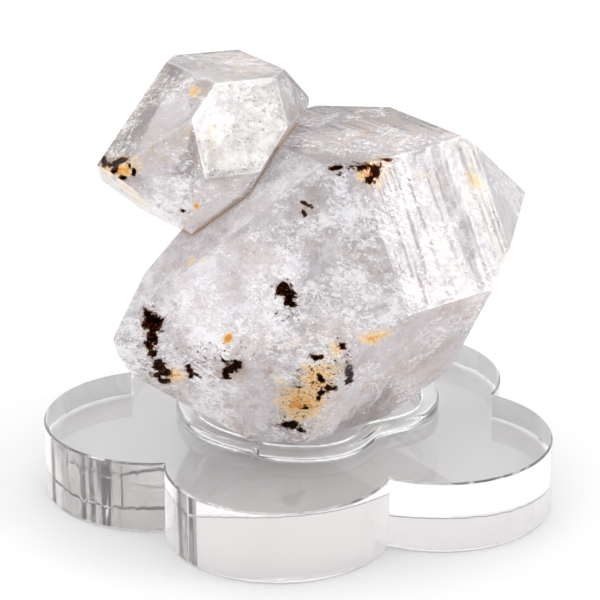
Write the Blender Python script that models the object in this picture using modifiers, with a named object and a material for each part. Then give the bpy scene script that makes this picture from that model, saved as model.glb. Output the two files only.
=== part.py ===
"""Two herkimer quartz crystals grown together, resting on a clear ring on a flower-shaped base.

Units are metres, +Z is up, and the origin is the middle of the object's box at its underside.
The stone lies with its long axis level and one prism face down.
"""
import math

import bmesh
import bpy
from mathutils import Matrix, Vector

MM = 0.001

# Flower base: five round lobes cut from one thick clear sheet
BASE_THICKNESS = 12.0 * MM
BASE_RIM_CHAMFER = 0.3 * MM
LOBE_RADIUS = 18.2 * MM
LOBE_CENTRES_MM = {
    "front": (-2.75, -19.85),
    "right": (22.95, -9.45),
    "back_right": (15.95, 13.85),
    "back_left": (-10.25, 19.85),
    "left": (-22.95, -2.35),
}
LOBE_STEP = math.radians(6.0)

# Rest ring: a low band of clear plastic bent round, pushed in at its front right and at its back,
# so that the stone's bottom corners all stand on it
CONTACT_GAP = 0.3 * MM
RING_CENTRE_MM = (1.65, 0.15)
RING_OUTER_RADIUS = 21.7 * MM
RING_WALL = 3.0 * MM
RING_HEIGHT = 2.2 * MM
RING_CHAMFER = 0.4 * MM
RING_POINTS = 90
RING_DENTS = {
    "front_right": {"azimuth": -45.0, "half_width": 22.0, "depth_mm": 4.5},
    "back": {"azimuth": 125.0, "half_width": 40.0, "depth_mm": 3.2},
}

# Quartz: a pyramid face leans this far from the long axis's cross plane
PRISM_STEP = 60.0
PYRAMID_ANGLE = math.radians(51.79)

# Distances in mm from a crystal's centre to its faces. Each list runs by azimuth round the long
# axis: 0, 60, 120, 180, 240 and 300 degrees.
LARGE = {
    "centre_mm": (3.76, 0.16, 34.0),
    "heading": 38.3,
    "elevation": 0.0,
    "down_azimuth": 120.0,
    "prism_mm": (26.2, 21.3, 19.2, 24.0, 22.3, 25.8),
    "right_tip_mm": (31.7, 24.6, 17.4, 29.3, 22.4, 30.6),
    "left_tip_mm": (23.5, 25.0, 27.4, 25.3, 25.7, 25.8),
}
SMALL = {
    "centre_mm": (-13.63, -0.62, 59.85),
    "heading": 34.95,
    "elevation": -5.97,
    "down_azimuth": 121.1,
    "prism_mm": (12.4, 14.2, 13.2, 12.2, 13.2, 10.8),
    "right_tip_mm": (13.5, 10.6, 7.9, 17.9, 18.3, 15.0),
    "left_tip_mm": (16.5, 18.2, 15.3, 18.1, 11.4, 11.7),
}

# The large crystal's worn left shoulder, above the small crystal's root
SHOULDER_HEADING = math.radians(165.5)
SHOULDER_ELEVATION = math.radians(38.6)
SHOULDER_DISTANCE = 22.8 * MM

# Growth ledge: the large crystal's front prism face steps down towards its right tip
LEDGE_START = 12.0 * MM
LEDGE_DEPTH = 0.45 * MM

BLOCK_SIZE = 140.0 * MM
CUT_TOLERANCE = 1e-7
MERGE_DISTANCE = 1e-6


def clear_scene():
    """Remove every object that is already there."""
    for old in list(bpy.data.objects):
        bpy.data.objects.remove(old, do_unlink=True)


def new_collection(name):
    """A collection linked to the scene."""
    collection = bpy.data.collections.new(name)
    bpy.context.scene.collection.children.link(collection)
    return collection


def clear_material(name, colour, roughness, ior):
    """A see-through material with its own index of refraction."""
    material = bpy.data.materials.new(name)
    material.use_nodes = True
    shader = material.node_tree.nodes["Principled BSDF"]
    shader.inputs["Base Color"].default_value = (*colour, 1.0)
    shader.inputs["Roughness"].default_value = roughness
    shader.inputs["Metallic"].default_value = 0.0
    shader.inputs["IOR"].default_value = ior
    shader.inputs["Transmission Weight"].default_value = 1.0
    return material


def object_from_bmesh(name, source, collection):
    """Turn a bmesh into a named object in the collection."""
    mesh = bpy.data.meshes.new(name)
    source.to_mesh(mesh)
    source.free()
    built = bpy.data.objects.new(name, mesh)
    collection.objects.link(built)
    return built


def circle_crossing(first, second, radius):
    """The outer crossing point of two equal circles, the one farther from the origin."""
    middle = (first + second) / 2
    across = second - first
    reach = math.sqrt(radius ** 2 - (across.length / 2) ** 2)
    side = Vector((across.y, -across.x)).normalized() * reach
    return max(middle + side, middle - side, key=lambda point: point.length)


def arc_points(centre, start, end, radius, step):
    """Points on a circle, anticlockwise from start up to but not including end."""
    start_angle = math.atan2(start.y - centre.y, start.x - centre.x)
    end_angle = math.atan2(end.y - centre.y, end.x - centre.x)
    sweep = (end_angle - start_angle) % (2 * math.pi)
    count = round(sweep / step)
    angles = [start_angle + sweep * k / count for k in range(count)]
    return [centre + radius * Vector((math.cos(a), math.sin(a))) for a in angles]


def flower_outline():
    """The base's outline: one arc a lobe, from notch to notch."""
    centres = [Vector(pair) * MM for pair in LOBE_CENTRES_MM.values()]
    outline = []
    for index, centre in enumerate(centres):
        before = centres[index - 1]
        after = centres[(index + 1) % len(centres)]
        start = circle_crossing(before, centre, LOBE_RADIUS)
        end = circle_crossing(centre, after, LOBE_RADIUS)
        outline += arc_points(centre, start, end, LOBE_RADIUS, LOBE_STEP)
    return outline


def dent_depth(azimuth):
    """How far the ring is pushed in at an azimuth in degrees: a smooth bell for each dent."""
    depth = 0.0
    for dent in RING_DENTS.values():
        off = (azimuth - dent["azimuth"] + 180.0) % 360.0 - 180.0
        depth += dent["depth_mm"] * MM * math.exp(-((off / dent["half_width"]) ** 2))
    return depth


def ring_outline(radius):
    """A circle with the ring's dents."""
    centre = Vector(RING_CENTRE_MM) * MM
    outline = []
    for k in range(RING_POINTS):
        azimuth = 360.0 * k / RING_POINTS
        turned = Vector((math.cos(math.radians(azimuth)), math.sin(math.radians(azimuth))))
        outline.append(centre + (radius - dent_depth(azimuth)) * turned)
    return outline


def plate(name, outlines, bottom, thickness, chamfer, collection):
    """A flat plate from closed outlines, with a small chamfer round its rims."""
    curve = bpy.data.curves.new(name + "_outline", "CURVE")
    curve.dimensions = "2D"
    curve.fill_mode = "BOTH"
    curve.extrude = thickness / 2
    for outline in outlines:
        spline = curve.splines.new("POLY")
        spline.points.add(len(outline) - 1)
        for point, place in zip(spline.points, outline):
            point.co = (place.x, place.y, 0.0, 1.0)
        spline.use_cyclic_u = True
    drawing = bpy.data.objects.new(name + "_outline", curve)
    collection.objects.link(drawing)
    bpy.context.view_layer.update()
    evaluated = drawing.evaluated_get(bpy.context.evaluated_depsgraph_get())
    welded = bmesh.new()
    welded.from_mesh(bpy.data.meshes.new_from_object(evaluated))
    bmesh.ops.remove_doubles(welded, verts=welded.verts, dist=MERGE_DISTANCE)
    bmesh.ops.recalc_face_normals(welded, faces=welded.faces)
    bpy.data.objects.remove(drawing, do_unlink=True)
    built = object_from_bmesh(name, welded, collection)
    built.location.z = bottom + thickness / 2
    built.data.shade_smooth()
    built.data.set_sharp_from_angle(angle=math.radians(30.0))
    rim = built.modifiers.new("rim_chamfer", "BEVEL")
    rim.width = chamfer
    rim.segments = 1
    rim.limit_method = "ANGLE"
    rim.angle_limit = math.radians(60.0)
    return built


def quartz_faces(habit):
    """Outward normal and distance of the six prism faces and the two six-sided tips.

    The long axis is local Z. A prism face stands square to its azimuth, and a tip face leans
    from there towards the axis's end by the quartz angle, the same on every crystal.
    """
    outward = math.sin(PYRAMID_ANGLE)
    along = math.cos(PYRAMID_ANGLE)
    faces = []
    for index in range(6):
        azimuth = math.radians(PRISM_STEP * index)
        flat = Vector((math.cos(azimuth), math.sin(azimuth), 0.0))
        axis = Vector((0.0, 0.0, along))
        faces.append((flat, habit["prism_mm"][index] * MM))
        faces.append((flat * outward + axis, habit["right_tip_mm"][index] * MM))
        faces.append((flat * outward - axis, habit["left_tip_mm"][index] * MM))
    return faces


def lying_turn(habit):
    """Turn from local Z as the long axis to the crystal's heading, with one azimuth facing down."""
    heading = math.radians(habit["heading"])
    elevation = math.radians(habit["elevation"])
    azimuth = math.radians(habit["down_azimuth"])
    axis = Vector((math.cos(heading) * math.cos(elevation),
                   math.sin(heading) * math.cos(elevation),
                   math.sin(elevation)))
    straight_down = Vector((0.0, 0.0, -1.0))
    down = (straight_down - axis * axis.dot(straight_down)).normalized()
    side = axis.cross(down)
    local_x = math.cos(azimuth) * down - math.sin(azimuth) * side
    local_y = math.sin(azimuth) * down + math.cos(azimuth) * side
    return Matrix((local_x, local_y, axis)).transposed()


def cut_crystal(name, habit, extra_faces, collection):
    """A block cut back to every face plane in turn, each cut closed again."""
    block = bmesh.new()
    bmesh.ops.create_cube(block, size=BLOCK_SIZE)
    for normal, distance in quartz_faces(habit) + extra_faces:
        everything = block.verts[:] + block.edges[:] + block.faces[:]
        cut = bmesh.ops.bisect_plane(block, geom=everything, dist=CUT_TOLERANCE,
                                     plane_co=normal * distance, plane_no=normal,
                                     clear_outer=True)
        rim = [edge for edge in cut["geom_cut"] if isinstance(edge, bmesh.types.BMEdge)]
        if rim:
            bmesh.ops.edgeloop_fill(block, edges=rim)
    bmesh.ops.recalc_face_normals(block, faces=block.faces)
    built = object_from_bmesh(name, block, collection)
    built.matrix_world = (Matrix.Translation(Vector(habit["centre_mm"]) * MM)
                          @ lying_turn(habit).to_4x4())
    return built


def growth_ledge(stone, collection):
    """A slab over the front prism face's right part, as deep as the ledge."""
    face_distance = LARGE["prism_mm"][0] * MM
    slab = bmesh.new()
    bmesh.ops.create_cube(slab, size=1.0)
    size = Vector((10.0 * MM, 80.0 * MM, 40.0 * MM))
    middle = Vector((face_distance - LEDGE_DEPTH + size.x / 2, 0.0, LEDGE_START + size.z / 2))
    bmesh.ops.scale(slab, vec=size, verts=slab.verts)
    bmesh.ops.translate(slab, vec=middle, verts=slab.verts)
    cutter = object_from_bmesh("growth_ledge", slab, collection)
    cutter.matrix_world = stone.matrix_world
    return cutter


def use_boolean(target, other, operation):
    """Join or cut the target with another object, which is then only a guide."""
    other.hide_render = True
    other.display_type = "WIRE"
    step = target.modifiers.new(other.name, "BOOLEAN")
    step.object = other
    step.operation = operation
    step.solver = "EXACT"


def build():
    """The whole object."""
    clear_scene()
    parts = new_collection("herkimer_diamond_on_flower_base")
    cutters = new_collection("cutters")

    base = plate("flower_base", [flower_outline()], 0.0, BASE_THICKNESS, BASE_RIM_CHAMFER, parts)
    base.data.materials.append(clear_material("clear_acrylic", (0.93, 0.92, 0.92), 0.03, 1.49))

    ring_bottom = BASE_THICKNESS + CONTACT_GAP
    ring_outlines = [ring_outline(RING_OUTER_RADIUS), ring_outline(RING_OUTER_RADIUS - RING_WALL)]
    ring = plate("rest_ring", ring_outlines, ring_bottom, RING_HEIGHT, RING_CHAMFER, parts)
    ring.data.materials.append(clear_material("clear_ring", (0.95, 0.95, 0.96), 0.02, 1.49))

    turn = lying_turn(LARGE)
    shoulder = Vector((math.cos(SHOULDER_HEADING) * math.cos(SHOULDER_ELEVATION),
                       math.sin(SHOULDER_HEADING) * math.cos(SHOULDER_ELEVATION),
                       math.sin(SHOULDER_ELEVATION)))
    shoulder_face = [(turn.transposed() @ shoulder, SHOULDER_DISTANCE)]
    stone = cut_crystal("crystal_pair", LARGE, shoulder_face, parts)
    stone.data.materials.append(clear_material("quartz", (0.86, 0.83, 0.83), 0.04, 1.544))
    use_boolean(stone, growth_ledge(stone, cutters), "DIFFERENCE")
    use_boolean(stone, cut_crystal("small_crystal", SMALL, [], cutters), "UNION")


build()
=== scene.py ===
"""Two herkimer quartz crystals grown together, on a clear ring and a flower-shaped base: the looks.

Lengths named _MM are millimetres, and everything that goes into a mesh is metres. The stone's faces
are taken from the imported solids, so each piece sits where its solid does.
"""
import math
from functools import partial

import bpy
import numpy as np
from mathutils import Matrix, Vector, geometry


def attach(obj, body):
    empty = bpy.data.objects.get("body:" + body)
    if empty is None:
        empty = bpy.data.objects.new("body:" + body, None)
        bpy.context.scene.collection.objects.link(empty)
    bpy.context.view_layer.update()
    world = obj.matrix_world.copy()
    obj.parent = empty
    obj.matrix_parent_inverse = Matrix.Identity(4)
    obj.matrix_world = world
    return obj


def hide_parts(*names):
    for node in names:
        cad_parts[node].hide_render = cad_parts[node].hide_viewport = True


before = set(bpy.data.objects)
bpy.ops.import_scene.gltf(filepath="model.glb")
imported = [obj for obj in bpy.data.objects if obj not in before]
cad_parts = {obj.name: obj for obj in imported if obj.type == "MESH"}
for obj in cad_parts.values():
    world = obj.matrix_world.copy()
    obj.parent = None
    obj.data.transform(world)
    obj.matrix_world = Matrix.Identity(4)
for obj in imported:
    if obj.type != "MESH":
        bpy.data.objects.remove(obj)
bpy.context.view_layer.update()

MM = 0.001
SEED = 27

# How strongly the real materials bend light
QUARTZ_IOR = 1.544
VEIL_IOR = 1.54
ACRYLIC_IOR = 1.49

# The view of the photograph: a long lens, looking down, and its two directions
CAMERA_MM = np.array([0.54, -451.8, 219.9])
CAMERA_DISTANCE_MM = 498.0
CAMERA_PITCH = math.radians(22.65)
AHEAD = np.array([0.0, math.cos(CAMERA_PITCH), -math.sin(CAMERA_PITCH)])
UPWARD = np.array([0.0, math.sin(CAMERA_PITCH), math.cos(CAMERA_PITCH)])
LENS_MM = 182.2
SENSOR_MM = 36.0
PICTURE = 600

# The two crystals' places and the headings of their long axes, as in the solids
LARGE = {"centre_mm": (3.76, 0.16, 34.0), "heading": 38.3, "elevation": 0.0, "down_azimuth": 120.0}
SMALL = {"centre_mm": (-13.63, -0.62, 59.85), "heading": 34.95, "elevation": -5.97,
         "down_azimuth": 121.1}
PYRAMID_ANGLE = 51.79

# Flower base and ring, as in the solids
BASE_THICKNESS = 12.0
LOBE_RADIUS = 18.2
LOBE_CENTRES = ((-2.75, -19.85), (22.95, -9.45), (15.95, 13.85), (-10.25, 19.85), (-22.95, -2.35))
RING_CENTRE = (1.65, 0.15)
RING_OUTER_RADIUS = 21.7
RING_WALL = 3.0
RING_BOTTOM = 12.3
RING_HEIGHT = 2.2
RING_DENTS = ((-45.0, 22.0, 4.5), (125.0, 40.0, 3.2))

# Details of the base and ring that the solids leave out: the edge's chamfer, the saw marks' depth
# and spacing, and the azimuth of the ring's cut end with the depth and length of its lap
CHAMFER_MM = 0.3
SAW_MARK_DEPTH_MM = 0.018
SAW_MARK_SPACING_MM = 1.6
RING_LAP = 247.0
LAP_DEPTH_MM = 0.7
LAP_DEGREES = 45.0

# White veils inside the stone: how many, flakes for a sheet of 10 mm radius, and their sizes
VEILS = 60
VEIL_FLAKES = 3000
VEIL_RADII_MM = (5.0, 16.0)
FLAKE_SIZES_MM = (0.08, 0.32)
VEIL_MARGIN_MM = 0.5

# Settings of the nodes used most. EASE takes a value, where it starts and ends, and the results at
# the two, which are 0 and 1 where they aren't given.
EASE = {"kind": "MapRange", "interpolation_type": "SMOOTHSTEP"}
TIMES = {"kind": "Math", "operation": "MULTIPLY"}
PLUS = {"kind": "Math", "operation": "ADD"}
MINUS = {"kind": "Math", "operation": "SUBTRACT"}
LARGER = {"kind": "Math", "operation": "MAXIMUM"}


def linear(code):
    """An sRGB hex colour as the linear RGBA that a shader takes."""
    parts = [int(code[i:i + 2], 16) / 255 for i in (1, 3, 5)]
    return (*[p / 12.92 if p <= 0.04045 else ((p + 0.055) / 1.055) ** 2.4 for p in parts], 1.0)


def node(tree, *feeds, kind, output=0, sockets=None, **settings):
    """Add a node of a kind with its settings, and return one of its outputs.

    The feeds fill its sockets in order, and sockets fills them by name or number. Each is another
    node's output to link, a hex colour or a plain value.
    """
    made = tree.nodes.new("ShaderNode" + kind)
    for name, value in settings.items():
        setattr(made, name, value)
    for key, value in {**dict(enumerate(feeds)), **(sockets or {})}.items():
        if isinstance(value, bpy.types.NodeSocket):
            tree.links.new(value, made.inputs[key])
        else:
            made.inputs[key].default_value = linear(value) if isinstance(value, str) else value
    return made.outputs[output]


def new_material(name):
    """An empty node material with its output."""
    material = bpy.data.materials.new(name)
    material.use_nodes = True
    tree = material.node_tree
    tree.nodes.clear()
    return material, tree, tree.nodes.new("ShaderNodeOutputMaterial")


def smooth(x):
    """The cubic that eases from 0 to 1."""
    x = np.clip(x, 0.0, 1.0)
    return x * x * (3.0 - 2.0 * x)


def value_noise(u, v, seed):
    """Smooth noise from -1 to 1: random values on a square lattice, eased between."""
    size = 128
    table = np.random.default_rng(seed).uniform(-1.0, 1.0, (size, size))
    i, j = np.floor(u).astype(int), np.floor(v).astype(int)
    a, b = smooth(u - i), smooth(v - j)
    i0, j0, i1, j1 = i % size, j % size, (i + 1) % size, (j + 1) % size
    low = table[i0, j0] * (1 - a) + table[i1, j0] * a
    high = table[i0, j1] * (1 - a) + table[i1, j1] * a
    return low * (1 - b) + high * b


def layered_noise(u, v, seed, layers=4):
    """Value noise added up in octaves, each half as high and twice as fine."""
    total = np.zeros_like(u)
    for k in range(layers):
        total += value_noise(u * 2 ** k, v * 2 ** k, seed + 17 * k) / 2 ** k
    return total


def add_piece(name, points, faces, material, replaces=None, smooth_shaded=True, sharp=None):
    """Make a mesh piece that rides on the body, with its material, and hide the imported part it replaces.

    The faces are an array, or a list where they differ in their number of corners. Sharp is the
    angle in degrees past which an edge isn't shaded smooth.
    """
    mesh = bpy.data.meshes.new(name)
    mesh.from_pydata(points, [], faces if isinstance(faces, list) else faces.tolist())
    mesh.polygons.foreach_set("use_smooth", np.full(len(mesh.polygons), smooth_shaded))
    if sharp is not None:
        mesh.set_sharp_from_angle(angle=math.radians(sharp))
    mesh.materials.append(material)
    piece = bpy.data.objects.new(name, mesh)
    bpy.context.scene.collection.objects.link(piece)
    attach(piece, "root")
    if replaces:
        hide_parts(replaces)
    return piece


def lying_turn(crystal):
    """The crystal's local axes as columns: across its azimuth 0, azimuth 90, and its long axis."""
    heading, elevation, azimuth = (math.radians(crystal[key])
                                   for key in ("heading", "elevation", "down_azimuth"))
    axis = np.array([math.cos(heading) * math.cos(elevation),
                     math.sin(heading) * math.cos(elevation), math.sin(elevation)])
    down = np.array([0.0, 0.0, -1.0])
    down = down - axis * (axis @ down)
    down /= np.linalg.norm(down)
    side = np.cross(axis, down)
    local_x = math.cos(azimuth) * down - math.sin(azimuth) * side
    local_y = math.sin(azimuth) * down + math.cos(azimuth) * side
    return np.column_stack([local_x, local_y, axis])


def stone_triangles():
    """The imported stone's triangles, corner by corner, in millimetres."""
    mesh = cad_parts["crystal_pair"].data
    places = np.empty(len(mesh.vertices) * 3, np.float32)
    mesh.vertices.foreach_get("co", places)
    corners = np.empty(len(mesh.loops), np.int32)
    mesh.loops.foreach_get("vertex_index", corners)
    return places.reshape(-1, 3)[corners].reshape(-1, 3, 3).astype(float) / MM


def unit(vectors):
    """Vectors at length one."""
    return vectors / np.linalg.norm(vectors, axis=-1, keepdims=True)


TRIANGLES = stone_triangles()
TRIANGLE_NORMALS = unit(np.cross(TRIANGLES[:, 1] - TRIANGLES[:, 0],
                                 TRIANGLES[:, 2] - TRIANGLES[:, 0]))


def inside_stone(points, margin):
    """True where a point lies inside the stone.

    It has to be behind all face planes of one crystal by the margin, and the solid angles of the
    stone's triangles seen from it have to add up to more than half a full turn.
    """
    held = np.zeros(len(points), bool)
    planes = facet_planes()
    for name in ("large", "small"):
        own = [(normal, distance) for normal, distance, _ in planes if crystal_of(normal)[0] == name]
        normals, distances = np.array([p[0] for p in own]), np.array([p[1] for p in own])
        held |= (points @ normals.T < distances - margin).all(1)
    found = points[held]
    a, b, c = (TRIANGLES[:, k][None] - found[:, None] for k in range(3))
    la, lb, lc = (np.sqrt((x * x).sum(2)) for x in (a, b, c))
    top = (a * np.cross(b, c)).sum(2)
    bottom = la * lb * lc + (a * b).sum(2) * lc + (b * c).sum(2) * la + (c * a).sum(2) * lb
    held[held] = np.abs(np.arctan2(top, bottom).sum(1) * 2) > 2 * math.pi
    return held


def picture_of(points):
    """The pixels at which points in millimetres show in the picture."""
    away = points - CAMERA_MM
    scale = LENS_MM / SENSOR_MM * PICTURE / (away @ AHEAD)
    return np.column_stack([PICTURE / 2 + away[:, 0] * scale,
                            PICTURE / 2 - away @ UPWARD * scale])


def picture_facing(normal, place):
    """How squarely a face at the place turns to the camera: 1 for fully, below 0 for hidden."""
    return float(normal @ unit(CAMERA_MM - place))


def inside_outline(spots, outline):
    """True where flat points lie inside an outline: a ray to the right crosses it an odd number
    of times."""
    inside = np.zeros(len(spots), bool)
    for (x0, y0), (x1, y1) in zip(outline, outline[1:] + outline[:1]):
        between = (y0 > spots[:, 1]) != (y1 > spots[:, 1])
        crossing = x0 + (spots[:, 1] - y0) * (x1 - x0) / ((y1 - y0) or 1.0)
        inside ^= between & (spots[:, 0] < crossing)
    return inside


def spot_on_stone(x, y):
    """Where the ray through a pixel first meets the stone in mm, or None where it misses.

    The ray meets a triangle's plane at a distance and at two shares of the triangle's sides. It
    hits the triangle where neither share is below 0 and they add up to 1 at most.
    """
    scale = SENSOR_MM / LENS_MM / PICTURE
    ray = AHEAD + (PICTURE / 2 - y) * scale * UPWARD
    ray = unit(ray + [(x - PICTURE / 2) * scale, 0.0, 0.0])
    corner = TRIANGLES[:, 0]
    first, second = TRIANGLES[:, 1] - corner, TRIANGLES[:, 2] - corner
    across = np.cross(ray, second)
    size = (first * across).sum(1)
    size = np.where(np.abs(size) < 1e-12, 1e-12, size)
    away = CAMERA_MM - corner
    lifted = np.cross(away, first)
    first_share = (away * across).sum(1) / size
    second_share = lifted @ ray / size
    distance = (second * lifted).sum(1) / size
    hit = (first_share >= 0) & (second_share >= 0) & (first_share + second_share <= 1)
    reach = np.where(hit & (distance > 0), distance, np.inf).min()
    return CAMERA_MM + ray * reach if np.isfinite(reach) else None


def facet_planes():
    """Group the stone's triangles by plane: a list of (normal, distance, triangle numbers)."""
    distances = (TRIANGLE_NORMALS * TRIANGLES[:, 0]).sum(1)
    groups = []
    for index, (normal, distance) in enumerate(zip(TRIANGLE_NORMALS, distances)):
        for group in groups:
            if group[0] @ normal > 0.99999 and abs(group[1] - distance) < 0.02:
                group[2].append(index)
                break
        else:
            groups.append((normal, distance, [index]))
    return groups


def facet_outline(members):
    """The edges of a facet that only one of its triangles has, as pairs of welded corners."""
    corners = np.round(TRIANGLES[members].reshape(-1, 3), 3)
    places, numbers = np.unique(corners, axis=0, return_inverse=True)
    triangles = numbers.reshape(-1, 3)
    edges = np.vstack([triangles[:, [0, 1]], triangles[:, [1, 2]], triangles[:, [2, 0]]])
    sorted_edges = np.sort(edges, axis=1)
    pairs, counts = np.unique(sorted_edges, axis=0, return_counts=True)
    return places, pairs[(counts == 1) & (pairs[:, 0] != pairs[:, 1])]


# Spacing of the stone's mesh on faces that turn to the camera and on the others, and how far from
# a facet's edge its relief reaches full depth
FRONT_GRID_MM = 0.31
BACK_GRID_MM = 0.50
EDGE_FADE_MM = 0.9

# Widths of the painted highlight along a facet's edges and of the stained seam between the
# crystals, and the step between the facets' own coordinates, so that no two show the same pattern
HIGHLIGHT_RIM_WIDTH_MM = 0.22
SEAM_WIDTH_MM = 0.42
FACET_STEP_MM = 40.0

# What is painted on the stone's mesh: the first six for a whole face, the others spot by spot
STONE_FIELDS = ("milk", "speckle", "warmth", "striae", "pits", "painted_face_shade",
                "rim", "iron", "carbon", "seam")

# How milky, speckled, warm, striated and pitted each face of the large and small crystal looks,
# from 0 to 1, and how far painted shade darkens it. A face is named by its kind and its azimuth number.
FACE_LOOKS = {
    ("large", "prism", 0): (0.50, 0.90, 0.35, 0.25, 0.10, 0.0),
    ("large", "right", 0): (0.20, 0.15, 0.15, 0.0, 0.0, 0.15),
    ("large", "prism", 5): (0.15, 0.75, 1.0, 0.10, 0.0, 0.80),
    ("large", "left", 0): (0.55, 0.95, 0.40, 0.0, 0.05, 0.0),
    ("large", "left", 5): (1.0, 0.20, 0.10, 0.0, 0.0, 0.0),
    ("large", "left", 1): (0.55, 0.95, 0.85, 0.0, 0.05, 0.05),
    ("large", "prism", 1): (0.20, 0.50, 0.80, 0.10, 0.0, 0.20),
    ("small", "prism", 0): (0.80, 0.25, 0.25, 0.0, 0.9, 0.0),
    ("small", "right", 0): (0.05, 0.10, 0.20, 0.0, 0.0, 0.85),
    ("small", "prism", 5): (0.0, 0.30, 0.90, 0.0, 0.1, 1.0),
    ("small", "left", 5): (0.15, 0.70, 0.80, 0.0, 0.25, 0.95),
    ("small", "left", 0): (0.10, 0.70, 1.0, 0.0, 0.3, 0.40),
    ("small", "left", 1): (0.65, 0.90, 0.30, 0.0, 0.1, 0.05),
    ("small", "prism", 1): (0.20, 0.15, 0.20, 0.0, 0.0, 0.25),
}
PLAIN_LOOK = (0.30, 0.60, 0.55, 0.15, 0.1, 0.15)

# Parts of a face with a look of their own, by outline in picture pixels
PANES = (
    (("large", "left", 0), ((110, 290), (215, 250), (232, 330), (200, 400), (110, 380)),
     (0.95, 0.30, 0.2, 0.0, 0.0, 0.0)),
    (("large", "left", 0), ((296, 236), (322, 204), (356, 172), (380, 230), (404, 312), (352, 300),
                            (318, 284)),
     (0.80, 0.95, 0.50, 0.0, 0.05, 0.0)),
    (("large", "left", 1), ((170, 384), (252, 376), (292, 372), (288, 440), (190, 425)),
     (0.85, 0.95, 0.80, 0.0, 0.05, 0.0)),
    (("large", "left", 0), ((361, 283), (384, 274), (402, 270), (412, 330), (372, 322)),
     (1.0, 0.40, 0.1, 0.1, 0.1, 0.0)),
    (("large", "prism", 0), ((345, 175), (378, 170), (426, 312), (400, 322)),
     (0.60, 0.60, 0.3, 0.8, 0.0, 0.0)),
    (("large", "prism", 0), ((426, 148), (452, 138), (500, 284), (478, 290)),
     (0.95, 0.50, 0.0, 0.5, 0.1, 0.0)),
    (("large", "prism", 0), ((452, 138), (470, 130), (512, 237), (500, 284)),
     (0.60, 0.40, 0.1, 0.0, 0.9, 0.0)),
    (("small", "prism", 0), ((180, 120), (196, 108), (240, 88), (232, 130), (214, 152), (190, 150)),
     (0.80, 1.0, 0.0, 0.0, 0.25, 0.0)),
    (("small", "prism", 0), ((190, 140), (214, 138), (226, 160), (206, 186)),
     (0.35, 0.30, 1.0, 0.0, 1.0, 0.1)),
    (("small", "prism", 0), ((236, 84), (280, 76), (292, 124), (264, 114)),
     (0.50, 0.20, 0.0, 0.35, 0.9, 0.0)),
    (("small", "left", 5), ((138, 150), (164, 92), (186, 90), (192, 112), (168, 138)),
     (0.30, 0.15, 0.1, 0.0, 0.1, 0.5)),
)

# Black-brown patches of carbon, by picture pixel: x, y, half length, half width, turn in degrees
# and strength, which is 1 where it isn't given and makes scattered flecks where it is low
CARBON_PATCHES = (
    (153, 322, 9.0, 8.0, 0), (147, 313, 3.5, 3.5, 0), (152, 336, 8.0, 4.5, 80), (149, 345, 4.0, 4.0, 0),
    (153, 354, 4.0, 3.5, 0), (160, 366, 7.0, 5.5, 60), (166, 373, 6.0, 4.0, 30), (157, 375, 4.0, 3.0, 0),
    (164, 381, 5.0, 2.5, 10), (190, 370, 5.0, 2.6, 70), (196, 375, 5.0, 1.4, 25), (190, 377, 2.2, 2.2, 0),
    (234, 367, 8.5, 4.6, -35), (226, 372, 4.0, 3.0, -50), (224, 361, 5.0, 1.2, 50), (227, 378, 4.5, 1.3, 0),
    (283, 290, 6.5, 6.0, 0), (289, 296, 7.0, 6.0, 50), (292, 304, 4.0, 3.5, 0), (283, 286, 4.0, 4.0, 0),
    (286, 303, 3.0, 2.6, 0), (349, 374, 9.0, 3.4, 85), (348, 381, 3.4, 2.4, 0), (290, 425, 8.5, 3.8, 8),
    (300, 430, 5.0, 2.4, 25), (315, 357, 3.6, 3.2, 0), (321, 357, 3.0, 2.2, -30), (342, 346, 3.4, 3.2, 0),
    (363, 166, 11.0, 3.6, -4), (375, 172, 8.0, 4.4, -60), (369, 180, 4.6, 3.6, -50), (387, 160, 5.0, 1.8, 5),
    (339, 166, 5.0, 1.8, 15), (334, 169, 5.0, 1.5, 0), (339, 175, 3.0, 1.2, 0), (321, 379, 5.0, 2.2, 50),
    (200, 352, 20, 9, 0, 0.22), (233, 352, 18, 9, 0, 0.22), (312, 385, 30, 15, -50, 0.28),
    (150, 344, 12, 32, 0, 0.18), (340, 350, 12, 10, 0, 0.22), (284, 316, 10, 8, 0, 0.20),
    (328, 388, 3.4, 3.0, 0), (321, 393, 4.0, 2.4, -60), (318, 398, 2.6, 2.0, 0), (335, 388, 2.6, 2.2, 0),
    (306, 408, 3.0, 1.8, 0), (307, 205, 1.8, 4.6, -60), (304, 213, 3.6, 1.8, 60),
    (104, 161, 6.0, 2.2, 85), (120, 161, 8.0, 3.0, -15), (129, 165, 3.4, 2.2, 60), (115, 168, 2.8, 6.0, 10),
    (110, 165, 4.0, 2.2, 30), (114, 178, 5.0, 2.2, -20), (134, 172, 1.8, 4.0, 0), (124, 178, 4.0, 1.6, 0),
    (121, 190, 2.4, 1.5, -10), (141, 196, 1.6, 5.0, -20), (183, 211, 1.4, 1.4, 0), (170, 220, 1.4, 1.4, 0),
)

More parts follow.
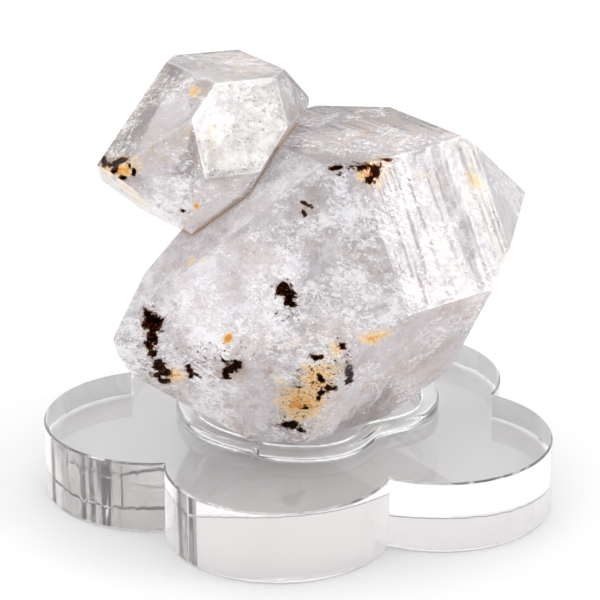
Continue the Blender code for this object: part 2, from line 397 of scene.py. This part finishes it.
# Golden iron staining, by picture pixel: x, y, half length, half width, turn, strength
IRON_PATCHES = (
    (300, 402, 22, 18, 0, 0.95), (318, 380, 26, 18, -50, 0.80), (335, 350, 20, 10, -30, 0.50),
    (375, 337, 15, 6, -20, 0.95), (330, 332, 22, 6, -15, 0.35), (300, 340, 14, 6, -25, 0.35),
    (290, 390, 18, 14, 0, 0.60), (356, 360, 10, 22, 0, 0.30), (345, 410, 16, 8, -25, 0.35),
    (228, 338, 4.4, 3.2, -50, 1.45), (262, 338, 2.2, 2.0, 0, 0.8), (176, 376, 13, 7, 10, 0.85),
    (146, 322, 6, 10, 0, 0.60), (150, 346, 5, 9, 0, 0.60), (188, 372, 8, 9, 0, 0.40),
    (372, 172, 16, 13, -30, 0.85), (385, 160, 10, 8, 0, 0.60), (360, 178, 12, 10, 0, 0.40),
    (475, 180, 8, 17, -22, 0.60), (430, 176, 12, 5, 0, 0.50), (445, 245, 8, 26, -20, 0.40),
    (385, 225, 5, 20, -20, 0.30), (120, 170, 16, 12, 0, 0.85), (105, 171, 6, 7, 0, 1.1),
    (126, 171, 6, 6, 0, 1.05), (128, 190, 9, 12, -30, 0.85), (140, 201, 12, 6, 30, 0.75),
    (194, 92, 6, 8, 0, 0.80),
    (197, 206, 2.6, 2.4, 0, 1.3), (206, 135, 16, 10, 0, 0.45), (190, 150, 12, 18, 0, 0.30),
    (190, 262, 12, 5, -40, 0.45), (205, 255, 10, 5, -40, 0.35), (295, 208, 16, 9, 0, 0.28),
    (250, 295, 10, 3, 50, 0.30), (350, 300, 22, 5, -25, 0.35), (322, 320, 12, 3, -20, 0.50),
    (395, 120, 30, 7, 12, 0.22), (270, 405, 16, 10, 0, 0.25),
)


def crystal_of(normal):
    """Which crystal a facet belongs to, its kind and its azimuth number, by the nearest ideal face."""
    outward, along = math.sin(math.radians(PYRAMID_ANGLE)), math.cos(math.radians(PYRAMID_ANGLE))
    best = (0.0, "large", "shoulder", 0)
    for name, crystal in (("large", LARGE), ("small", SMALL)):
        turn = lying_turn(crystal)
        for k in range(6):
            azimuth = math.radians(60 * k)
            flat = np.array([math.cos(azimuth), math.sin(azimuth), 0.0])
            for kind, face in (("prism", flat), ("right", flat * outward + [0, 0, along]),
                               ("left", flat * outward - [0, 0, along])):
                match = float(turn @ face @ normal)
                if match > max(best[0], 0.9998):
                    best = (match, name, kind, k)
    return best[1:]


def face_relief(kind, number, name, along, across, seed):
    """Depth in mm below the ideal face, at distances along the crystal and across it.

    Every face has low swells and small bumps, each layered noise. A prism face has growth steps
    across the long axis: noise drawn out about 15 times, with its slopes sharpened by a hyperbolic
    tangent. The large front face has sine ribs towards its left end, and one groove in the form of
    a bell curve. A pyramid face has broad terraces of noise in the same way.
    """
    swell = 0.05 * layered_noise(along / 7.0, across / 7.0, seed, 3)
    grit = 0.012 * layered_noise(along / 0.9, across / 0.9, seed + 5, 3)
    if kind == "prism":
        drift = 0.8 * value_noise(along / 9.0, across / 9.0, seed + 9)
        steps = layered_noise((along + drift) / 1.5, across / 22.0, seed + 3, 4)
        depth = 0.06 + swell + grit + (0.012 if name == "small" else 0.04) * np.tanh(2.5 * steps)
        if (name, number) == ("large", 0):
            ribs = 0.035 * (1 + np.sin(2 * math.pi * (along + 0.9 * drift) / 1.1))
            depth = depth + ribs * smooth((0.2 - along) / 1.5)
            depth = depth + 0.12 * np.exp(-((along + 0.15 * drift - 10.6) / 0.3) ** 2)
        return depth
    drift = 1.2 * value_noise(along / 6.0, across / 6.0, seed + 9)
    terrace = layered_noise((along + drift) / 5.0, (across + drift) / 8.0, seed + 3, 3)
    return 0.05 + swell + grit + 0.035 * np.tanh(3.0 * terrace)


def facet_mesh(normal, members, seed):
    """One facet as a fine triangle grid, pressed in by its relief and left alone at its edges.

    Points stand on a triangular lattice inside the outline and at even steps along it, joined by
    a constrained Delaunay triangulation. Returns the points, the faces, what is painted on each
    point and its two coordinates on the facet, or None where a facet is too small for a face.
    """
    places, edges = facet_outline(members)
    name, kind, number = crystal_of(normal)
    crystal = SMALL if name == "small" else LARGE
    centre = np.array(crystal["centre_mm"])
    axis = lying_turn(crystal)[:, 2]
    u_axis = unit(axis - normal * (axis @ normal))
    v_axis = np.cross(normal, u_axis)
    rim, links = [], []
    for start, end in edges:
        a, b = places[start], places[end]
        if tuple(a) > tuple(b):
            a, b = b, a
        count = max(1, int(np.ceil(np.linalg.norm(b - a) / (FRONT_GRID_MM * 1.15))))
        steps = np.arange(count + 1)[:, None] / count
        first = len(rim)
        rim.extend(a + (b - a) * steps)
        links.extend((first + k, first + k + 1) for k in range(count))
    rim = np.array(rim)
    flat = np.column_stack([(rim - centre) @ u_axis, (rim - centre) @ v_axis])
    low, high = flat.min(0), flat.max(0)
    grid = FRONT_GRID_MM if picture_facing(normal, places[0]) > 0.05 else BACK_GRID_MM
    columns = np.arange(low[0], high[0], grid)
    rows = np.arange(low[1], high[1], grid * 0.866)
    gu, gv = np.meshgrid(columns, rows)
    gu = gu + (np.arange(len(rows)) % 2)[:, None] * grid / 2
    lattice = np.column_stack([gu.ravel(), gv.ravel()])
    starts, ends = places[edges[:, 0]] - centre, places[edges[:, 1]] - centre
    starts, ends = (np.column_stack([x @ u_axis, x @ v_axis]) for x in (starts, ends))
    lattice = lattice[segment_distance(lattice, starts, ends) > grid * 0.45]
    everything = np.vstack([flat, lattice])
    found = geometry.delaunay_2d_cdt([Vector(p) for p in everything.tolist()], links, [], 1, 1e-5)
    out = np.array([tuple(p) for p in found[0]])
    faces = np.array([f for f in found[2] if len(f) == 3])
    if not len(faces):
        return None
    edge_distance = segment_distance(out, starts, ends)
    depth = face_relief(kind, number, name, out[:, 0], out[:, 1], seed)
    depth = np.maximum(depth, 0.0) * smooth(edge_distance / EDGE_FADE_MM)
    plane = normal @ (places[0] - centre)
    points = centre + out[:, :1] * u_axis + out[:, 1:] * v_axis + normal * (plane - depth[:, None])
    a, b, c = (points[faces[:, k]] for k in range(3))
    inward = (np.cross(b - a, c - a) @ normal) < 0
    faces[inward] = faces[inward][:, ::-1]
    look = np.tile(FACE_LOOKS.get((name, kind, number), PLAIN_LOOK), (len(points), 1))
    seen = picture_of(points)
    for pane, outline, pane_look in PANES:
        if pane == (name, kind, number):
            look[inside_outline(seen, outline)] = pane_look
    # Painted highlight: a pale band along the facet's edges, fading inwards
    painted_rim_highlight = np.exp(-(edge_distance / HIGHLIGHT_RIM_WIDTH_MM) ** 2)
    return points, faces, np.column_stack([look, painted_rim_highlight]), out


def segment_distance(points, starts, ends):
    """Distance from each point to the nearest of the line pieces."""
    best = np.full(len(points), np.inf)
    for start, end in zip(starts, ends):
        along = end - start
        t = np.clip(((points - start) @ along) / max(along @ along, 1e-12), 0.0, 1.0)
        best = np.minimum(best, np.hypot(*(points - start - t[:, None] * along).T))
    return best


def weld(points, faces, step=0.002):
    """Join points that fall in the same small cell, and drop faces that this closes up.

    Returns the numbers of the points that stay, which faces stay, and these faces renumbered.
    """
    keys = np.round(points / step).astype(np.int64)
    _, first, numbers = np.unique(keys, axis=0, return_index=True, return_inverse=True)
    faces = numbers.reshape(-1)[faces]
    whole = (faces[:, 0] != faces[:, 1]) & (faces[:, 1] != faces[:, 2]) & (faces[:, 2] != faces[:, 0])
    used, faces = np.unique(faces[whole], return_inverse=True)
    return first[used], whole, faces.reshape(-1, 3)


def texture(tree, kind, where, size_mm, turn=None, stretch=None, output=0, **sockets):
    """Add a texture of a kind whose largest blotches or cells are this wide in mm.

    A turn by angles in degrees and a stretch draw it out to streaks or splinters.
    """
    if turn is not None:
        angles = [math.radians(angle) for angle in turn]
        where = node(tree, kind="Mapping", vector_type="TEXTURE",
                     sockets={"Vector": where, "Rotation": angles, "Scale": stretch})
    return node(tree, kind=kind, output=output,
                sockets={"Vector": where, "Scale": 1.0 / (size_mm * MM), **sockets})


def hair_cracks(tree, where, size_mm, width, turn, stretch):
    """Hair cracks: the places where drawn-out smooth noise is close to its middle value."""
    noise = texture(tree, "TexNoise", where, size_mm, turn, stretch, Detail=2.0, Roughness=0.5)
    off = node(tree, node(tree, noise, 0.5, **MINUS), kind="Math", operation="ABSOLUTE")
    return node(tree, off, width, 0.0, **EASE)


def growth_lines(tree, where, size_mm, count):
    """Fine curved growth lines: the contour lines of smooth noise, this many from 0 to 1."""
    noise = texture(tree, "TexNoise", where, size_mm, Detail=1.0, Roughness=0.4)
    off = node(tree, node(tree, noise, count, **TIMES), 0.5, kind="Math", operation="PINGPONG")
    return node(tree, off, 0.10, 0.02, **EASE)


def specks(tree, where, size_mm, radius, share):
    """Round specks: a disc at the heart of this share of the cells of a Voronoi pattern."""
    away = texture(tree, "TexVoronoi", where, size_mm)
    lot = node(tree, away.node.outputs["Color"], kind="SeparateColor")
    disc = node(tree, away, radius, radius * 0.6, **EASE)
    return node(tree, disc, node(tree, lot, share, share * 0.98, **EASE), **TIMES)


def shards(tree, where, size_mm, turn, stretch, most):
    """Broken ice: the brighter of flat drawn-out cells with random values, up to the most."""
    cells = texture(tree, "TexVoronoi", where, size_mm, turn, stretch, output="Color")
    return node(tree, node(tree, cells, kind="SeparateColor", output=1), 0.60, 1.0, 0.0, most, **EASE)


def paint(tree, colour, layers):
    """Lay colours over one another: each layer is its share, from 0 to 1, and its colour."""
    for share, code in layers:
        colour = node(tree, kind="Mix", data_type="RGBA", output=2,
                      sockets={0: share, 6: colour, 7: code})
    return colour


def quartz_material():
    """Quartz, grown with natural faces: glossy and see-through, with white veils of tiny cavities.

    The veils scatter light like broken ice, warm tan parts and faces darkened by painted shade lie
    between them, hair cracks catch the light, iron oxide stains the cracks golden and carbon makes
    black patches. Carbon is given as metallic in its own dark colour, so that it swallows the white
    surround as real carbon does.
    The cavities, hair cracks and growth lines of real quartz are finer than 0.1 mm. They are drawn
    several times coarser, so that they show.
    """
    material, tree, output = new_material("quartz_natural_faces")
    add = partial(node, tree)
    noise = partial(texture, tree, "TexNoise")
    where = add(kind="TexCoord", output="Object")
    face_place = add(kind="Attribute", attribute_name="face_place", output="Vector")
    milk, speckle, warmth, striae, pits, painted_face_shade, rim, iron, carbon, seam = (
        add(kind="Attribute", attribute_name=name, output="Fac") for name in STONE_FIELDS)
    clouds = noise(where, 10.0, Detail=3.0, Roughness=0.6)
    frost = noise(where, 2.6, Detail=6.0, Roughness=0.8)
    grains = noise(where, 0.45, Detail=2.0, Roughness=0.7)

    # The clear body: cool to warm, darkened by painted shade on some faces, with tan clouds
    tints = add(noise(where, 7.0, Detail=2.0, Roughness=0.6), 0.40, 0.60, **EASE)
    # Painted shade: whole faces and parts of faces are darkened towards grey-brown, face by face
    body = paint(tree, "#F2EDF5", [(tints, "#F0E8E8"), (painted_face_shade, "#85797A")])
    tan = noise(where, 4.5, (0, 30, 0), (1, 2, 1), Detail=4.0, Roughness=0.65)
    tan = add(warmth, add(tan, 0.46, 0.64, **EASE), **TIMES)

    # White: milk, broken ice in clusters, hair cracks and glints, then grey specks of painted shade
    ice = add(shards(tree, where, 1.3, (20, 40, 10), (1.7, 0.8, 1.0), 0.5),
              shards(tree, where, 0.55, (70, 10, 50), (1.5, 0.7, 1.0), 0.9), **PLUS)
    ice = add(ice, add(frost, 0.45, 0.66, 0.0, 0.55, **EASE), **PLUS)
    ice = add(ice, add(add(clouds, 0.42, 0.58, **EASE), speckle, **TIMES), **TIMES)
    cracks = add(hair_cracks(tree, where, 1.2, 0.020, (15, 35, 20), (9, 1, 1)),
                 hair_cracks(tree, where, 1.5, 0.018, (50, -40, 70), (1, 8, 1)), **PLUS)
    cracks = add(cracks, add(clouds, 0.47, 0.55, 0.0, 0.9, **EASE), **TIMES)
    glints = add(specks(tree, where, 0.8, 0.22, 0.45), 0.9, **TIMES)
    white = add(milk, add(frost, 0.38, 0.68, 0.20, 0.90, **EASE), **TIMES)
    for layer in (add(ice, 0.7, **TIMES), add(cracks, glints, **PLUS)):
        white = add(white, layer, use_clamp=True, **PLUS)
    shade_specks = add(add(grains, 0.42, 0.34, 0.0, 0.45, **EASE), speckle, **TIMES)

    # On the surface: growth bands, pits with their shade painted in, curved growth lines and the seam
    # between the crystals
    bands = noise(face_place, 1.1, (0, 0, 0), (1, 30, 1), Detail=4.0, Roughness=0.7)
    bright_bands = add(striae, add(bands, 0.52, 0.66, **EASE), **TIMES)
    dark_bands = add(striae, add(bands, 0.46, 0.34, 0.0, 0.5, **EASE), **TIMES)
    # Painted shade: dark specks in pitted parts stand for the shade inside the pits
    pit_shade = add(pits, add(specks(tree, where, 0.75, 0.27, 0.75), 0.85, **TIMES), **TIMES)
    curves = add(growth_lines(tree, face_place, 7.0, 22.0), 2.4, **TIMES)
    curves = add(add(striae, pits, **TIMES), curves, **TIMES)
    rusty_seam = add(seam, add(add(frost, 0.9, **TIMES), 0.4, **PLUS), **TIMES)

    # Iron stains: golden where thin, brown where thick
    stain = add(iron, add(add(frost, 0.5, **MINUS), 1.9, **TIMES), **PLUS)
    gold = add(stain, 0.28, 0.66, **EASE)
    rust = add(stain, add(add(grains, 0.5, **MINUS), 0.9, **TIMES), **PLUS)

    # Carbon: ragged patches with flecks round them
    crumbs = add(noise(where, 0.9, Detail=4.0, Roughness=0.7), 0.5, **MINUS)
    ragged = add(carbon, add(crumbs, 1.7, **TIMES), **PLUS)
    flecks = add(noise(where, 0.8, Detail=3.0, Roughness=0.8), 0.60, 0.62, **EASE)
    flecks = add(flecks, add(carbon, 0.05, 0.11, **EASE), **TIMES)
    black = add(add(ragged, 0.42, 0.50, **EASE), flecks, **LARGER)
    coal = paint(tree, "#050100", [(add(grains, 0.50, 0.68, **EASE), "#5B2A12")])

    colour = paint(tree, body, [
        (tan, "#C9AF98"),
        (white, "#FBFBFF"),
        # Painted shade: small grey specks among the white
        (shade_specks, "#B3A5A0"),
        (bright_bands, "#FFFFFF"),
        (dark_bands, "#B9AEAD"),
        (add(pits, 0.85, **TIMES), "#CBC8C3"),
        # Painted shade inside the pits
        (pit_shade, "#5F5D66"),
        (curves, "#85838A"),
        # Painted highlight along the facets' edges
        (add(rim, 0.45, **TIMES), "#F7F6FA"),
        (rusty_seam, "#A9814F"),
        (add(gold, 0.75, **TIMES), "#FAD48A"),
        (add(rust, 0.55, 0.95, 0.0, 0.95, **EASE), "#E0921F"),
        (add(rust, 1.05, 1.45, 0.0, 0.6, **EASE), "#83430F"),
        (add(ragged, 0.24, 0.44, 0.0, 0.6, **EASE), "#A8713A"),
        (black, coal),
    ])
    solid = add(add(white, 0.50, **TIMES), 0.18, **PLUS)
    solid = add(solid, add(pits, 0.30, **TIMES), **PLUS)
    for covering in (add(gold, 0.75, **TIMES), black, add(seam, 0.9, **TIMES)):
        solid = add(solid, covering, **LARGER)
    bump = add(kind="Bump", output="Normal", sockets={
        "Height": add(frost, add(grains, 0.25, **TIMES), **PLUS), "Strength": 0.25,
        "Distance": 0.00015})
    shader = add(kind="BsdfPrincipled", output="BSDF", sockets={
        "Base Color": colour,
        "Metallic": add(black, 0.4, 0.9, **EASE),
        "Roughness": add(clouds, 0.35, 0.65, 0.01, 0.08, **EASE),
        "IOR": QUARTZ_IOR,
        "Transmission Weight": add(1.0, solid, use_clamp=True, **MINUS),
        "Normal": bump})
    depth = add(kind="VolumeAbsorption", output="Volume", sockets={"Color": "#E6DDDA", "Density": 5.0})
    tree.links.new(shader, output.inputs["Surface"])
    tree.links.new(depth, output.inputs["Volume"])
    return material


def patch_field(points, patches):
    """How deep each point lies in a patch: 1 at its middle, a half at its rim, 0 at twice its size.

    A patch is an ellipse seen from the camera, round the spot where its pixel meets the stone. It
    ends at four times its length in depth too, so that it doesn't reach the stone's far side.
    """
    pixel = SENSOR_MM / LENS_MM * CAMERA_DISTANCE_MM / PICTURE
    field = np.zeros(len(points))
    for x, y, long_half, short_half, turn, *strength in patches:
        spot = spot_on_stone(x, y)
        if spot is None:
            continue
        away = points - spot
        across, rise = away[:, 0] / pixel, away @ UPWARD / pixel
        c, s = math.cos(math.radians(turn)), math.sin(math.radians(turn))
        along = (across * c - rise * s) / long_half
        aside = (across * s + rise * c) / short_half
        inside = np.maximum(1.0 - 0.5 * np.hypot(along, aside), 0.0)
        inside[np.linalg.norm(away, axis=1) > 4.0 * long_half * pixel] = 0.0
        field = np.maximum(field, inside * (strength[0] if strength else 1.0))
    return field


def seam_field(points, planes):
    """1 along the edges where a face of one crystal meets a face of the other, fading off them."""
    edges = {"large": set(), "small": set()}
    for normal, _, members in planes:
        places, pairs = facet_outline(members)
        for start, end in pairs:
            edge = sorted((tuple(places[start]), tuple(places[end])))
            edges[crystal_of(normal)[0]].add(tuple(edge))
    nearest = np.full(len(points), np.inf)
    for start, end in (np.array(edge) for edge in edges["large"] & edges["small"]):
        along = end - start
        t = np.clip(((points - start) @ along) / (along @ along), 0.0, 1.0)
        nearest = np.minimum(nearest, np.linalg.norm(points - start - t[:, None] * along, axis=1))
    return np.exp(-(nearest / SEAM_WIDTH_MM) ** 2)


def build_stone():
    """The two crystals as one skin of fine facets, with what each spot looks like painted on."""
    planes = facet_planes()
    points, faces, looks, flats, start = [], [], [], [], 0
    for index, (normal, _, members) in enumerate(planes):
        made = facet_mesh(normal, members, SEED + 101 * index)
        if made is None:
            continue
        points.append(made[0])
        faces.append(made[1] + start)
        looks.append(made[2])
        flats.append(np.column_stack([made[3], np.full(len(made[0]), FACET_STEP_MM * index)]))
        start += len(made[0])
    points, looks, flats = np.vstack(points), np.vstack(looks), np.vstack(flats)
    kept, whole, welded = weld(points, np.vstack(faces))
    corners = np.vstack(faces)[whole].ravel()
    piece = add_piece("quartz_crystals", points[kept] * MM, welded, quartz_material(),
                      "crystal_pair", sharp=14.0)
    fields = np.column_stack([looks, patch_field(points, IRON_PATCHES),
                              patch_field(points, CARBON_PATCHES), seam_field(points, planes)])
    for name, values in zip(STONE_FIELDS, fields.T):
        layer = piece.data.attributes.new(name, "FLOAT", "CORNER")
        layer.data.foreach_set("value", values[corners].astype(np.float32))
    layer = piece.data.attributes.new("face_place", "FLOAT_VECTOR", "CORNER")
    layer.data.foreach_set("vector", (flats[corners] * MM).astype(np.float32).ravel())


def flakes(centres, normals, sizes, tilt, rng):
    """Small four-cornered flakes: each corner at its own distance from the centre, tilted a little."""
    count = len(centres)
    lean = unit(normals + tilt * rng.normal(size=(count, 3)))
    side = unit(np.cross(lean, rng.normal(size=(count, 3))))
    other = np.cross(lean, side)
    turns = np.arange(4) * math.pi / 2 + rng.uniform(-0.5, 0.5, (count, 4))
    reach = sizes[:, None] * rng.uniform(0.45, 1.15, (count, 4)) / 2
    corners = (centres[:, None] + (np.cos(turns) * reach)[..., None] * side[:, None]
               + (np.sin(turns) * reach)[..., None] * other[:, None])
    return corners.reshape(-1, 3), np.arange(count * 4).reshape(-1, 4)


def veil_material():
    """Tiny cavities in quartz: they scatter all light, and look like matt white powder."""
    material, tree, output = new_material("veil_cavities")
    shader = node(tree, kind="BsdfPrincipled", sockets={
        "Base Color": "#F4F1F3", "Roughness": 0.6, "IOR": VEIL_IOR})
    tree.links.new(shader, output.inputs["Surface"])
    return material


def build_veils():
    """White veils: healed cracks full of tiny cavities, as curved sheets of flakes inside.

    A sheet is a disc of random spots, kept where layered noise is high and lifted off the disc by
    softer noise. Its real cavities are finer than the flakes, which are as large as they need to
    be to show.
    """
    rng = np.random.default_rng(SEED)
    low, high = TRIANGLES.reshape(-1, 3).min(0), TRIANGLES.reshape(-1, 3).max(0)
    centres, normals, sizes = [], [], []
    for sheet in range(VEILS):
        middle = low + (high - low) * rng.uniform(0.12, 0.88, 3)
        normal = unit(rng.normal(size=3))
        side = unit(np.cross(normal, rng.normal(size=3)))
        other = np.cross(normal, side)
        radius = rng.uniform(*VEIL_RADII_MM)
        count = int(VEIL_FLAKES * (radius / 10.0) ** 2)
        a = rng.uniform(-radius, radius, count)
        b = rng.uniform(-radius, radius, count)
        thick = layered_noise(a / 3.0, b / 3.0, SEED + sheet, 4)
        keep = (np.hypot(a, b) < radius) & (thick > rng.uniform(-0.6, 1.0, count))
        a, b = a[keep], b[keep]
        bend = 1.6 * layered_noise(a / 9.0, b / 9.0, SEED + 50 + sheet, 2)
        spots = middle + a[:, None] * side + b[:, None] * other + bend[:, None] * normal
        centres.append(spots)
        normals.append(np.repeat(normal[None], len(spots), 0))
        sizes.append(rng.uniform(*FLAKE_SIZES_MM, len(spots)))
    centres, normals, sizes = np.vstack(centres), np.vstack(normals), np.hstack(sizes)
    held = inside_stone(centres, VEIL_MARGIN_MM)
    points, faces = flakes(centres[held], normals[held], sizes[held], 0.5, rng)
    add_piece("white_veils", points * MM, faces, veil_material(), smooth_shaded=False)


def rotation(angle):
    """Unit vectors at the angles in degrees."""
    return np.column_stack([np.cos(np.radians(angle)), np.sin(np.radians(angle))])


def flower_outline(step):
    """The base's outline in mm: one arc a lobe, from notch to notch, at even steps in degrees."""
    centres = [np.array(c) for c in LOBE_CENTRES]
    crossings = []
    for first, second in zip(centres, centres[1:] + centres[:1]):
        middle, across = (first + second) / 2, second - first
        reach = math.sqrt(LOBE_RADIUS ** 2 - (across @ across) / 4)
        side = unit(np.array([across[1], -across[0]])) * reach
        crossings.append(max((middle + side, middle - side), key=np.linalg.norm))
    outline = []
    for centre, start, end in zip(centres, crossings[-1:] + crossings[:-1], crossings):
        a = math.degrees(math.atan2(*(start - centre)[::-1]))
        b = math.degrees(math.atan2(*(end - centre)[::-1]))
        sweep = (b - a) % 360
        count = round(sweep / step)
        outline.append(centre + LOBE_RADIUS * rotation(a + sweep * np.arange(count) / count))
    return np.vstack(outline)


def acrylic_material(name, code, density, roughness):
    """Clear plastic, cast or moulded with glossy faces, whose hair scratches scatter some light."""
    material, tree, output = new_material(name)
    shader = node(tree, kind="BsdfPrincipled", sockets={
        "Base Color": "#FFFFFF", "Roughness": roughness, "IOR": ACRYLIC_IOR,
        "Transmission Weight": 0.94})
    depth = node(tree, kind="VolumeAbsorption", sockets={"Color": code, "Density": density})
    tree.links.new(shader, output.inputs["Surface"])
    tree.links.new(depth, output.inputs["Volume"])
    return material


def strip_faces(rows, columns):
    """Faces of a grid that closes round its columns."""
    i, j = np.meshgrid(np.arange(rows - 1), np.arange(columns), indexing="ij")
    a, b = i * columns + j, i * columns + (j + 1) % columns
    return np.stack([a, b, b + columns, a + columns], -1).reshape(-1, 4)


def build_base():
    """The flower plate: its outline carried up a wall profile, with both faces drawn in to points.

    The wall is pressed in by fine upright saw marks: noise along the outline that hardly changes
    with height.
    """
    outline = flower_outline(0.75)
    ahead, behind = np.roll(outline, -1, 0), np.roll(outline, 1, 0)
    tangent = unit(ahead - behind)
    inward = np.column_stack([-tangent[:, 1], tangent[:, 0]])
    travelled = np.cumsum(np.linalg.norm(ahead - outline, axis=1)) / SAW_MARK_SPACING_MM
    heights = np.array([0.0, CHAMFER_MM, 3.0, 6.0, 9.0, BASE_THICKNESS - CHAMFER_MM, BASE_THICKNESS])
    insets = np.array([CHAMFER_MM, 0.0, 0.0, 0.0, 0.0, 0.0, CHAMFER_MM])
    marks = np.stack([1 + layered_noise(travelled, np.full_like(travelled, h / 40.0), 5, 3)
                      for h in heights])
    marks *= SAW_MARK_DEPTH_MM * (insets == 0)[:, None]
    rows = [outline + inward * (inset + mark[:, None]) for inset, mark in zip(insets, marks)]
    foot_rows, top_rows = ([row * share for share in shares] for row, shares in
                           ((rows[0], (0.25, 0.5, 0.75)), (rows[-1], (0.75, 0.5, 0.25))))
    levels = np.concatenate([np.zeros(3), heights, np.full(3, BASE_THICKNESS)])
    grid = np.stack([np.column_stack([row, np.full(len(row), level)])
                     for row, level in zip(foot_rows + rows + top_rows, levels)])
    count = len(outline)
    points = np.vstack([grid.reshape(-1, 3), [[0, 0, 0]], [[0, 0, BASE_THICKNESS]]])
    foot, top = len(points) - 2, len(points) - 1
    last = (len(grid) - 1) * count
    around = np.arange(count)
    ahead_of = (around + 1) % count
    faces = strip_faces(len(grid), count).tolist()
    faces += np.column_stack([ahead_of, around, np.full(count, foot)]).tolist()
    faces += np.column_stack([last + around, last + ahead_of, np.full(count, top)]).tolist()
    add_piece("acrylic_flower", points * MM, faces,
              acrylic_material("cast_acrylic", "#DCD3D2", 6.0, 0.01), "flower_base",
              sharp=30.0)


def build_ring():
    """The clear band: a round-cornered section carried round a dented circle.

    The section's coordinates are a cosine and a sine raised to a power of 0.45, which makes a
    rectangle with round corners. Each dent in the circle is a bell curve. The two ends lap in front:
    the wall steps in at the outer end's cut edge and eases out again.
    """
    azimuth = np.concatenate([np.arange(0.0, RING_LAP), np.arange(RING_LAP, 360.0) + 0.15])
    dent = np.zeros_like(azimuth)
    for middle, width, depth in RING_DENTS:
        off = (azimuth - middle + 180) % 360 - 180
        dent += depth * np.exp(-(off / width) ** 2)
    lap = LAP_DEPTH_MM * smooth((azimuth - RING_LAP + LAP_DEGREES) / (LAP_DEGREES - 5.0))
    dent += np.where(azimuth < RING_LAP, lap, 0.0)
    section = rotation(np.arange(0.0, 360.0, 15.0))
    section = np.sign(section) * np.abs(section) ** 0.45 / 2
    radius = RING_OUTER_RADIUS - RING_WALL / 2 - dent
    reach = radius[:, None] + section[:, 0] * RING_WALL
    directions = rotation(azimuth)
    x = RING_CENTRE[0] + directions[:, :1] * reach
    y = RING_CENTRE[1] + directions[:, 1:] * reach
    z = np.broadcast_to(RING_BOTTOM + RING_HEIGHT / 2 + section[:, 1] * RING_HEIGHT, x.shape)
    points = np.stack([x, y, z], -1)
    rows, columns = points.shape[:2]
    faces = strip_faces(rows + 1, columns)[:, [0, 3, 2, 1]] % (rows * columns)
    add_piece("clear_band", points.reshape(-1, 3) * MM, faces,
              acrylic_material("clear_soft_plastic", "#F2F2F6", 4.0, 0.02),
              "rest_ring")


def build_floor():
    """A wide pale floor, a little under the base so that the two faces don't share a plane."""
    half = 3.0
    mesh = bpy.data.meshes.new("floor")
    mesh.from_pydata([(-half, -half, 0), (half, -half, 0), (half, half, 0), (-half, half, 0)], [],
                     [(0, 1, 2, 3)])
    material, tree, output = new_material("matt_white_board")
    shader = node(tree, kind="BsdfPrincipled", sockets={
        "Base Color": "#F7F7F7", "Roughness": 0.8, "Specular IOR Level": 0.1})
    tree.links.new(shader, output.inputs["Surface"])
    mesh.materials.append(material)
    floor = bpy.data.objects.new("floor", mesh)
    floor.location.z = -0.0002
    bpy.context.scene.collection.objects.link(floor)


def soft_box(name, azimuth, elevation, distance, size, power):
    """A rectangular area light that faces the stone's middle.

    Its picture refracted through the stone is a hard white patch, so it is left out of that.
    """
    light = bpy.data.lights.new(name, "AREA")
    light.shape = "RECTANGLE"
    light.size, light.size_y = size
    light.energy = power
    lamp = bpy.data.objects.new(name, light)
    lamp.visible_transmission = False
    a, e = math.radians(azimuth), math.radians(elevation)
    away = Vector((math.cos(a) * math.cos(e), math.sin(a) * math.cos(e), math.sin(e)))
    lamp.location = Vector((0, 0, 0.035)) + away * distance
    lamp.rotation_euler = away.to_track_quat("Z", "Y").to_euler()
    bpy.context.scene.collection.objects.link(lamp)


def build_light():
    """A white surround with one soft box at the right.

    It is a little less bright overhead. Behind the camera it is dimmer, as a grey card there would
    make it, so that the faces that look at the camera don't mirror full white.
    """
    world = bpy.data.worlds.new("white_studio")
    bpy.context.scene.world = world
    world.use_nodes = True
    tree = world.node_tree
    background = tree.nodes["Background"]
    background.inputs["Color"].default_value = linear("#FFFFFF")
    direction = node(tree, kind="TexCoord", output="Generated")
    toward = node(tree, direction, unit(CAMERA_MM), kind="VectorMath", operation="DOT_PRODUCT",
                  output="Value")
    card = node(tree, toward, 0.80, 0.96, 1.0, 0.68, **EASE)
    height = node(tree, direction, kind="SeparateXYZ", output="Z")
    overhead = node(tree, height, 0.55, 0.95, 1.32, 1.05, **EASE)
    tree.links.new(node(tree, card, overhead, **TIMES), background.inputs["Strength"])
    soft_box("right_window", -12.0, 26.0, 0.7, (0.16, 0.16), 0.6)
    scene = bpy.context.scene
    scene.view_settings.view_transform = "Standard"
    scene.cycles.glossy_bounces = 12


def build_camera():
    """The photograph's view."""
    camera = bpy.data.cameras.new("photo_view")
    camera.lens = LENS_MM
    camera.sensor_width = SENSOR_MM
    camera.clip_end = 20.0
    holder = bpy.data.objects.new("photo_view", camera)
    holder.location = Vector(CAMERA_MM) * MM
    holder.rotation_euler = (math.radians(90.0) - CAMERA_PITCH, 0.0, 0.0)
    bpy.context.scene.collection.objects.link(holder)
    bpy.context.scene.camera = holder


build_camera()
build_light()
build_floor()
build_stone()
build_veils()
build_base()
build_ring()
